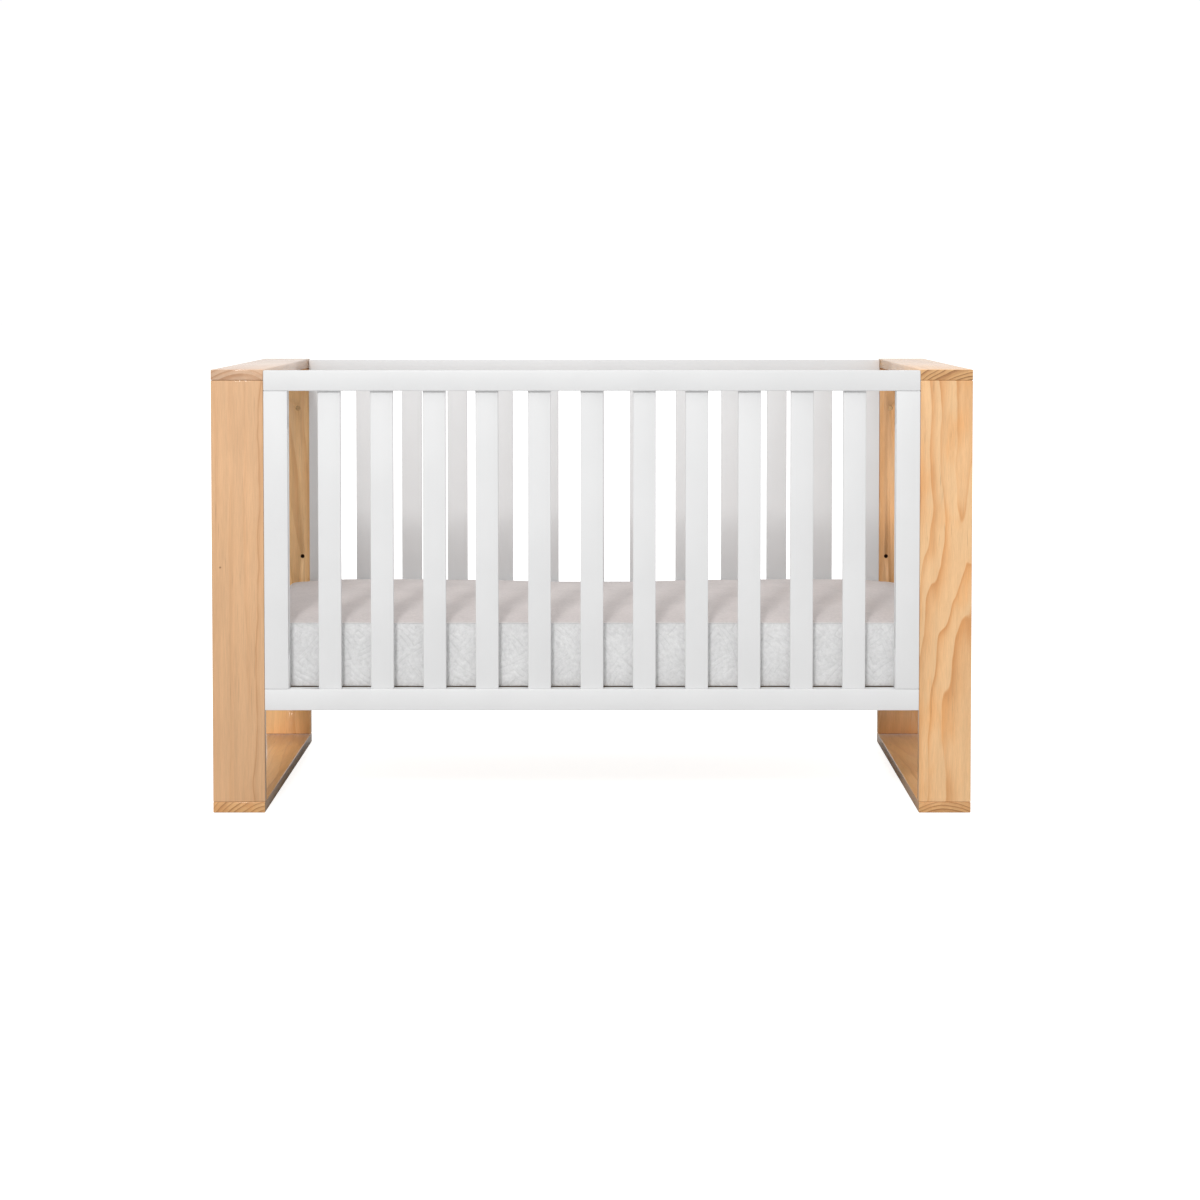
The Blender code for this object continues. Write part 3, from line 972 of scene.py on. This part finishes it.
@dataclass
class Mattress:
    """A foam mattress in a knitted cover: plain crowned top, quilted border, thin piping."""

    quilting: Quilting = field(default_factory=Quilting)
    corner: float = 0.038
    edge_height: float = 0.1175
    crown: float = 0.009
    inset: float = 0.003
    cell: float = 0.006
    round_under: float = 0.0026
    droop: float = 0.0030
    top_rings: int = 13
    under_rings: int = 7
    swell_top: float = 0.010
    swell_side: float = 0.0022
    pressure: float = 4.0
    frames: int = 20
    piping: float = 0.0012
    droop_from: float = 0.95
    ring_power: float = 1.4
    crown_power: float = 2.6
    arc_steps: int = 12
    tiny: float = 1e-6
    near: float = 0.0005
    half: Vector = field(default_factory=Vector)
    base: float = 0.0
    rim: float = 0.0

    def build(self, top: Material, side: Material, cord: Material) -> None:
        """Builds the cover and its piping.

        Args:
            top: The material of the sleeping surface.
            side: The material of the quilted border.
            cord: The material of the piping.
        """
        low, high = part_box("mattress")
        self.half = Vector((high.x - self.inset, high.y - self.inset))
        self.base = low.z + 0.0003
        self.rim = self.base + self.edge_height
        outline = self.outline()
        cover = self.sew(outline, top, side)
        self.inflate(cover)
        self.stitch(cover)
        self.pipe(outline, cord)
        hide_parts("mattress")
        log.info("mattress: %d faces", len(cover.data.polygons))

    def outward(self, place: Vector) -> Vector:
        """The level direction out of the mattress at a place on its border."""
        past = [max(abs(place[axis]) - self.half[axis] + self.corner, 0.0) for axis in (0, 1)]
        way = Vector((math.copysign(past[0], place.x), math.copysign(past[1], place.y), 0.0))
        return way.normalized()

    def along(self, place: Vector) -> float:
        """The distance round the border, from the left end of the front, to a place on it."""
        straight = self.half - Vector((self.corner, self.corner))
        way = self.outward(place)
        turned = math.atan2(way.x, -way.y) % (2 * math.pi)
        x = max(-straight.x, min(straight.x, place.x))
        y = max(-straight.y, min(straight.y, place.y))
        passed = (
            straight.x + x,
            2 * straight.x + straight.y + y,
            3 * straight.x + 2 * straight.y - x,
            4 * straight.x + 3 * straight.y - y,
        )
        side = min(3, int((turned + self.tiny) / (math.pi / 2)))
        return passed[side] + self.corner * turned

    def outline(self) -> list[Vector]:
        """The rounded outline as points at equal steps, counter-clockwise from above."""
        straight = self.half - Vector((self.corner, self.corner))
        points = []
        for quarter, (sx, sy) in enumerate(((1, -1), (1, 1), (-1, 1), (-1, -1))):
            centre = Vector((sx * straight.x, sy * straight.y))
            for step in range(self.arc_steps + 1):
                angle = math.radians(90 * (quarter - 1 + step / self.arc_steps))
                points.append(centre + Vector((math.cos(angle), math.sin(angle))) * self.corner)
        loop = points + [points[0]]
        lengths = [(second - first).length for first, second in zip(loop, loop[1:])]
        count = 4 * round(sum(lengths) / self.cell / 4)
        made, index, passed = [], 0, 0.0
        for number in range(count):
            wanted = sum(lengths) * number / count
            while passed + lengths[index] < wanted:
                passed += lengths[index]
                index += 1
            made.append(loop[index].lerp(loop[index + 1], (wanted - passed) / lengths[index]))
        return made

    @staticmethod
    def grow(shape: Shape, edges: list) -> tuple[list, list]:
        """Extrudes a rim once.

        Args:
            shape: The cover so far.
            edges: The rim's edges.

        Returns:
            The new rim's edges and its corners.
        """
        made = bmesh.ops.extrude_edge_only(shape, edges=edges)["geom"]
        fresh = {item for item in made if isinstance(item, bmesh.types.BMVert)}
        rim = [item for item in made if isinstance(item, bmesh.types.BMEdge) and set(item.verts) <= fresh]
        return rim, list(fresh)

    def sew(self, outline: list[Vector], top: Material, side: Material) -> Object:
        """Makes the closed cover before it is filled.

        Args:
            outline: The mattress's outline.
            top: The material of the sleeping surface.
            side: The material of the border.

        Returns:
            The cover.
        """
        shape = bmesh.new()
        crease = shape.edges.layers.float.new("crease_edge")
        start = self.base + self.round_under
        ring = [shape.verts.new((point.x, point.y, start)) for point in outline]
        first = [shape.edges.new(pair) for pair in zip(ring, ring[1:] + ring[:1])]
        rows = round((self.rim - start) / self.cell)
        edges = first
        for _ in range(rows):
            edges, fresh = self.grow(shape, edges)
            bmesh.ops.translate(shape, vec=(0, 0, (self.rim - start) / rows), verts=fresh)
        for edge in edges:
            edge[crease] = 1.0
        self.close(shape, edges, self.top_rings, self.crown)
        edges = first
        for angle, tuck in ((math.pi / 4, 0.293), (math.pi / 2, 0.707)):
            edges, fresh = self.grow(shape, edges)
            for vert in fresh:
                vert.co -= self.outward(vert.co) * self.round_under * tuck
                vert.co.z = start - self.round_under * math.sin(angle)
        self.close(shape, edges, self.under_rings, 0.0)
        for vert in shape.verts:
            if vert.co.z < start + 0.5 * self.cell and abs(vert.co.y) > self.half.y * self.droop_from:
                vert.co.z -= self.droop * abs(self.outward(vert.co).y)
        bmesh.ops.recalc_face_normals(shape, faces=shape.faces)
        for face in shape.faces:
            middle = face.calc_center_median()
            face.material_index = int(middle.z < self.rim - 0.001 and abs(face.normal.z) < 0.9)
        cover = finish_piece(shape, "mattress_cover", top, "mattress", 60.0)
        cover.data.materials.append(side)
        return cover

    def close(self, shape: Shape, edges: list, rings: int, crown: float) -> None:
        """Closes a rim with nested rings that end in a line along the middle.

        Args:
            shape: The cover so far.
            edges: The rim's edges.
            rings: How many rings it takes.
            crown: How far the middle stands above the rim.
        """
        height = edges[0].verts[0].co.z
        fresh = []
        for ring in range(1, rings + 1):
            edges, fresh = self.grow(shape, edges)
            share, before = ((number / rings) ** self.ring_power for number in (ring, ring - 1))
            shrink_x = (self.half.x - self.half.y * share) / (self.half.x - self.half.y * before)
            shrink_y = max(1 - share, self.tiny) / (1 - before)
            for vert in fresh:
                vert.co.x *= shrink_x
                vert.co.y *= shrink_y
                vert.co.z = height + crown * (1 - (1 - share) ** self.crown_power)
        bmesh.ops.remove_doubles(shape, verts=fresh, dist=0.0004)

    def inflate(self, cover: Object) -> None:
        """Fills the cover by cloth simulation under pressure, with its two seams held, then rounds it off.

        Args:
            cover: The cover.
        """
        rest = [vert.co.copy() for vert in cover.data.vertices]
        seams = cover.vertex_groups.new(name="seams")
        held = [
            number
            for number, place in enumerate(rest)
            if abs(place.z - self.rim) < self.near or place.z < self.base + self.round_under + self.near
        ]
        seams.add(held, 1.0, "REPLACE")
        cloth = cover.modifiers.new("filling", "CLOTH")
        settings = {
            "quality": 4,
            "mass": 0.3,
            "tension_stiffness": 20,
            "compression_stiffness": 20,
            "bending_stiffness": 2.0,
            "use_pressure": True,
            "uniform_pressure_force": self.pressure,
            "vertex_group_mass": "seams",
        }
        for name, value in settings.items():
            setattr(cloth.settings, name, value)
        cloth.settings.effector_weights.gravity = 0
        cloth.collision_settings.use_collision = False
        for number in range(1, self.frames + 1):
            bpy.context.scene.frame_set(number)
        filled = cover.evaluated_get(bpy.context.evaluated_depsgraph_get()).data
        swollen = [vert.co.copy() for vert in filled.vertices]
        cover.modifiers.clear()
        cover.vertex_groups.clear()
        bpy.context.scene.frame_set(1)
        for vert, before, after in zip(cover.data.vertices, rest, swollen):
            move = after - before
            cap = self.swell_top if before.z >= self.rim - self.near else self.swell_side
            if move.length > 1e-7:
                vert.co = before + move.normalized() * cap * math.tanh(move.length / cap)
        smooth = cover.modifiers.new("rounding", "SUBSURF")
        smooth.levels = smooth.render_levels = 1
        rounded = evaluated_mesh(cover)
        cover.modifiers.clear()
        cover.data = rounded

    def stitch(self, cover: Object) -> None:
        """Presses the quilting into the border, and lays the border's own UV map in metres.

        Args:
            cover: The filled cover.
        """
        mesh = cover.data
        border = mesh.uv_layers.new(name="border")
        span = self.rim - self.base
        faces = [face.index for face in mesh.polygons if face.material_index]
        places = {}
        for number in dict.fromkeys(number for index in faces for number in mesh.polygons[index].vertices):
            place = mesh.vertices[number].co
            places[number] = (self.along(place), place.z - self.base)
        for number, (along, up) in places.items():
            vert = mesh.vertices[number]
            ease = min(1.0, 9 * up / span, max(0.0, 9 * (1 - up / span)))
            vert.co -= self.outward(vert.co) * self.quilting.pull(along, up) * ease
        total = 4 * (self.half.x + self.half.y) + (2 * math.pi - 8) * self.corner
        for index in faces:
            face = mesh.polygons[index]
            spots = [places[number] for number in face.vertices]
            wraps = max(spot[0] for spot in spots) - min(spot[0] for spot in spots) > total / 2
            for loop, (along, up) in zip(face.loop_indices, spots):
                border.data[loop].uv = (along + total if wraps and along < total / 2 else along, up)

    def pipe(self, outline: list[Vector], cord: Material) -> None:
        """Sews a thin piping round the top.

        Args:
            outline: The mattress's outline.
            cord: Its material.
        """
        curve = bpy.data.curves.new("piping_line", "CURVE")
        curve.dimensions = "3D"
        curve.bevel_depth = self.piping
        curve.bevel_resolution = 2
        spline = curve.splines.new("POLY")
        points = outline[::2]
        spline.points.add(len(points) - 1)
        for target, point in zip(spline.points, points):
            lift = 0.0005 * noise.noise(Vector((point.x * 12, point.y * 12, 7.0)))
            target.co = (point.x, point.y, self.rim + lift, 1.0)
        spline.use_cyclic_u = True
        loose = into_scene("piping_line", curve)
        mesh = evaluated_mesh(loose)
        bpy.data.objects.remove(loose)
        shape = bmesh.new()
        shape.from_mesh(mesh)
        bmesh.ops.remove_doubles(shape, verts=shape.verts, dist=0.00005)
        bmesh.ops.recalc_face_normals(shape, faces=shape.faces)
        finish_piece(shape, "mattress_piping", cord, "mattress", 60.0)


@dataclass
class Studio:
    """The pale floor, the soft light and the camera."""

    room_low: float = 0.47
    room_high: float = 1.15
    room_seen: float = 1.02
    glossy_share: float = 0.75
    floor_glow: float = 0.03
    floor_seen: float = 0.86
    key_turn_deg: float = 11.0
    key_rise_deg: float = 29.0
    key_distance: float = 9.0
    key_size: float = 1.1
    key_watts: float = 270.0
    eye: tuple[float, float, float] = (0.034, -5.186, 0.989)
    lens: float = 77.06
    shift: tuple[float, float] = (-0.0083, -0.1705)
    tilt_deg: float = 2.4

    def build(self) -> None:
        """Makes the floor, the world, the lights and the camera."""
        self.sky()
        self.floor()
        self.key()
        self.camera()
        scene = bpy.context.scene
        scene.view_settings.view_transform = "Standard"
        scene.view_settings.look = "None"
        log.info("studio ready")

    def sky(self) -> None:
        """A white room, brighter overhead, that the camera sees as plain white."""
        world = bpy.data.worlds.new("white_room")
        world.use_nodes = True
        desk = NodeDesk(world.node_tree)
        path = desk.put("ShaderNodeLightPath").outputs
        glossy = desk.times(path["Is Glossy Ray"], self.glossy_share)
        seen = desk.math("MAXIMUM", path["Is Camera Ray"], glossy)
        back = world.node_tree.nodes["Background"]
        up = desk.split(desk.coordinates("Generated"))[2]
        inputs = {"Value": up, "To Min": self.room_low, "To Max": self.room_high}
        room = desk.put("ShaderNodeMapRange", inputs).outputs[0]
        strength = desk.put("ShaderNodeMapRange", {"Value": seen, "To Min": room, "To Max": self.room_seen})
        desk.fill(back, {"Color": (1.0, 1.0, 1.0, 1.0), "Strength": strength.outputs[0]})
        bpy.context.scene.world = world

    def floor(self) -> None:
        """A plain pale floor that runs out to the horizon."""
        shape = bmesh.new()
        bmesh.ops.create_grid(shape, x_segments=1, y_segments=1, size=60.0)
        bmesh.ops.translate(shape, vec=(0, 0, -0.0005), verts=shape.verts)
        made, desk, shader = new_material("pale_floor")
        seen = desk.put("ShaderNodeLightPath").outputs["Is Camera Ray"]
        glow = {"Value": seen, "To Min": self.floor_glow, "To Max": self.floor_seen}
        inputs = {
            "Base Color": desk.spread(desk.noise(desk.coordinates("Object"), 0.6), 0.3, 0.7, 0.54, 0.56),
            "Roughness": 0.9,
            "Specular IOR Level": 0.0,
            "Emission Color": (1.0, 1.0, 1.0, 1.0),
            "Emission Strength": desk.put("ShaderNodeMapRange", glow).outputs[0],
        }
        desk.fill(shader, inputs)
        into_scene("floor", new_mesh(shape, "floor", made))

    def key(self) -> None:
        """The main soft box, in front of the crib, a little to its left and above it."""
        turn, rise = math.radians(self.key_turn_deg), math.radians(self.key_rise_deg)
        target = Vector((0.0, 0.0, 0.4))
        away = Vector((-math.sin(turn) * math.cos(rise), -math.cos(turn) * math.cos(rise), math.sin(rise)))
        light = bpy.data.lights.new("key", "AREA")
        light.size = self.key_size
        light.energy = self.key_watts
        lamp = into_scene("key", light)
        lamp.location = target + away * self.key_distance
        lamp.rotation_euler = (-away).to_track_quat("-Z", "Y").to_euler()

    def camera(self) -> None:
        """A long lens a little above the crib's top, tilted down by a hair."""
        data = bpy.data.cameras.new("camera")
        data.lens = self.lens
        data.sensor_width = 36.0
        data.shift_x, data.shift_y = self.shift
        data.clip_start = 0.05
        data.clip_end = 200.0
        camera = into_scene("camera", data)
        camera.location = self.eye
        camera.rotation_euler = (math.radians(90 - self.tilt_deg), 0.0, 0.0)
        bpy.context.scene.camera = camera


def loop_finishes() -> dict[str, PineFinish]:
    """The pine of each board: where in the log it was sawn, how strong its figure is, and the painted light
    or shade on three of them.
    """
    y, z, tone = Grain.ALONG_Y, Grain.ALONG_Z, PineTone
    return {
        "left_front_leg": PineFinish(
            "pine_left_front", z, tone.ROSY, (-0.58, -0.31, 0.40), (0.6, 0.5), 0.023, 0.014, 0.20, 1.3,
            knots=((-0.698, -0.380, 0.464, 0.0026),), vein_x=-0.628,
        ),
        # This leg's tone carries painted light, brightened against the shadow of the left loop.
        "left_rear_leg": PineFinish(
            "pine_left_rear", z, tone.SHADY, (-0.69, 0.47, 0.30), (-1.2, 0.3), 0.012, 0.012, 0.35, 4.1,
        ),
        "left_top_board": PineFinish(
            "pine_left_top", y, tone.PALE, (-0.66, 0.0, 0.74), (0.8, 0.0), 0.012, 0.006, 0.35, 7.9,
            end_contrast=0.6,
        ),
        "left_bottom_board": PineFinish(
            "pine_left_bottom", y, tone.AMBER, (-0.60, 0.0, -0.07), (1.0, 0.0), 0.008, 0.008, 0.45, 2.2,
            # Painted shade on this board's inner edge face, which looks into the shadow under the crib.
            end_contrast=1.0, painted_shade_edge=(0.62, 0.0, 0.0),
        ),
        "right_front_leg": PineFinish(
            "pine_right_front", z, tone.WARM, (0.700, -0.29, 0.40), (-2.2, 0.6), 0.012, 0.022, 0.88, 5.6,
        ),
        "right_rear_leg": PineFinish(
            "pine_right_rear", z, tone.DEEP, (0.66, 0.47, 0.40), (-1.6, 0.2), 0.012, 0.014, 0.38, 9.4,
        ),
        "right_top_board": PineFinish(
            "pine_right_top", y, tone.AMBER, (0.722, 0.0, 0.705), (0.6, 0.0), 0.008, 0.009, 0.6, 3.7,
            end_contrast=1.15,
        ),
        "right_bottom_board": PineFinish(
            "pine_right_bottom", y, tone.AMBER, (0.67, 0.0, -0.10), (0.9, 0.0), 0.009, 0.008, 0.6, 6.8,
            # Painted shade on this board's inner edge face, which looks into the shadow under the crib.
            end_contrast=1.0, painted_shade_edge=(-0.45, 0.0, 0.0),
        ),
    }


def side_panel(name: str) -> SlattedPanel:
    """The long panel at the front or the rear."""
    slats = [f"{name}_slat_{number:02d}" for number in range(1, 12)]
    rails = [f"{name}_top_rail", f"{name}_bottom_rail"]
    stiles = [f"{name}_left_stile", f"{name}_right_stile"]
    return SlattedPanel(name, {"rails": rails, "stiles": stiles, "slats": slats}, Grain.ALONG_X)


def end_panel(side: str) -> SlattedPanel:
    """The short panel inside a loop."""
    slats = [f"{side}_end_slat_{number}" for number in range(1, 7)]
    rails = [f"{side}_end_top_rail", f"{side}_end_bottom_rail"]
    return SlattedPanel(f"{side}_end", {"rails": rails, "slats": slats}, Grain.ALONG_Y)


def main() -> None:
    """Builds every sub-assembly in order."""
    logging.basicConfig(level=logging.INFO, format="%(message)s")
    Studio().build()
    steel = MetalFinish("plated_steel", (0.50, 0.48, 0.44), 0.38).material()
    yellow = MetalFinish("yellow_zinc", (0.70, 0.48, 0.26), 0.60).material()
    paints = {
        grain: PaintFinish(f"white_paint_{grain.name[-1].lower()}", grain).material() for grain in Grain
    }
    joinery = Joinery()
    finishes = loop_finishes()
    # The holes' inner faces get painted shade: a near-black pine with no lacquer.
    bore = PineFinish(
        "bored_pine", Grain.ALONG_Z, PineTone.BORED, (0.0, 0.0, 0.0), (0.0, 0.0), 0.004, 0.002, 0.5, 1.0,
        roughness=0.85, lacquer=0.0,
    ).material()
    for side_name, side in (("left", -1), ("right", 1)):
        EndLoop(side_name, side, joinery, finishes, bore).build()
        end_panel(side_name).build(paints)
    stiles = {}
    for name in ("front", "rear"):
        made = side_panel(name).build(paints)
        stiles |= {node: piece for node, piece in made.items() if node.endswith("stile")}
    PanelBolts(joinery).build(stiles, steel, yellow)
    bare = {
        grain: PineFinish(
            f"bare_pine_{grain.name[-1].lower()}", grain, PineTone.BARE, (0.1, 0.1, 0.0), (1.0, 0.5),
            0.006, 0.004, 0.4, 8.0, roughness=0.62, lacquer=0.0,
        ).material()
        for grain in Grain
    }
    MattressBase().build(bare, steel)
    top = ClothFinish("mattress_top_knit", (0.655, 0.600, 0.585), 0.0022, 0.35).material()
    side_cloth = ClothFinish("mattress_quilted_knit", (0.895, 0.895, 0.895), 0.0018, 0.6, True).material()
    cord = ClothFinish("mattress_piping_cloth", (0.80, 0.79, 0.785), 0.0012, 0.4).material()
    Mattress().build(top, side_cloth, cord)


if __name__ == "__main__":
    main()
